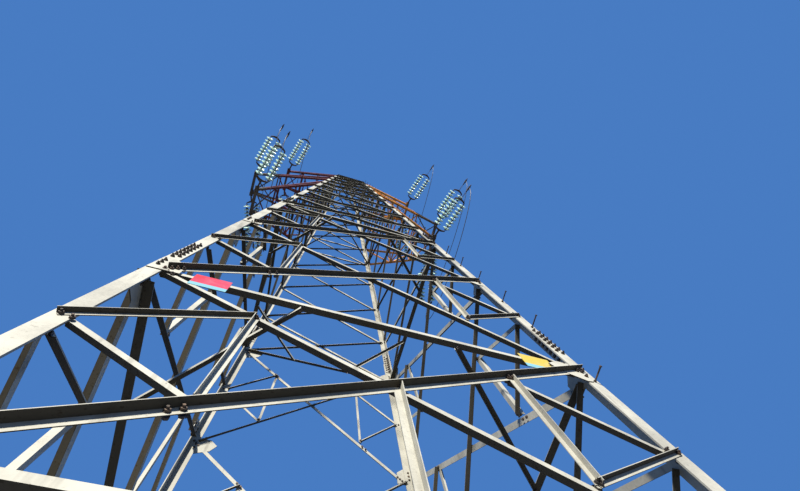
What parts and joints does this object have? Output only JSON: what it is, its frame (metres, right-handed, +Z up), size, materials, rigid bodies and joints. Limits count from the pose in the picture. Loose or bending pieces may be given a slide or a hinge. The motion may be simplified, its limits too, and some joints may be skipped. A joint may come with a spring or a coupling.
{
  "type": "lattice transmission pylon",
  "caption": "Galvanised lattice strain pylon for two circuits, with three painted cross-arms a side, glass strain strings and an earth-wire peak.",
  "frame": {"origin": "setting-out centre of the four foundations, on the tower's centre line at ground level", "axes": "+Z up, X along the cross-arms with the red arms at -X, Y along the line, the front face at -Y"},
  "size_m": [8.9857, 5.8396, 31.228],
  "materials": {
    "galvanised_steel": "weathered hot-dip galvanising",
    "concrete": "rough cast concrete",
    "plate_red": "faded enamel",
    "plate_yellow": "faded enamel",
    "arm_red": "old paint",
    "arm_orange": "old paint",
    "disc_glass": "toughened glass discs",
    "conductor": "dull stranded"
  },
  "bodies": {
    "root": {"lattice_front": "galvanised_steel", "lattice_right": "galvanised_steel", "lattice_back": "galvanised_steel", "lattice_left": "galvanised_steel", "leg_front_left": "galvanised_steel", "leg_front_right": "galvanised_steel", "leg_back_left": "galvanised_steel", "leg_back_right": "galvanised_steel", "plan_bracing": "galvanised_steel", "step_bolts": "galvanised_steel", "earth_wire_peak": "galvanised_steel", "footings": "concrete", "circuit_plate_left": "plate_red", "circuit_plate_right": "plate_yellow", "arm_lower_left": "arm_red", "arm_lower_right": "arm_orange", "strings_lower_left": "disc_glass", "strings_lower_right": "disc_glass", "arm_middle_left": "arm_red", "arm_middle_right": "arm_orange", "strings_middle_left": "disc_glass", "strings_middle_right": "disc_glass", "arm_upper_left": "arm_red", "arm_upper_right": "arm_orange", "strings_upper_left": "disc_glass", "strings_upper_right": "disc_glass", "jumpers_left": "conductor", "jumpers_right": "conductor"}
  },
  "joints": []
}
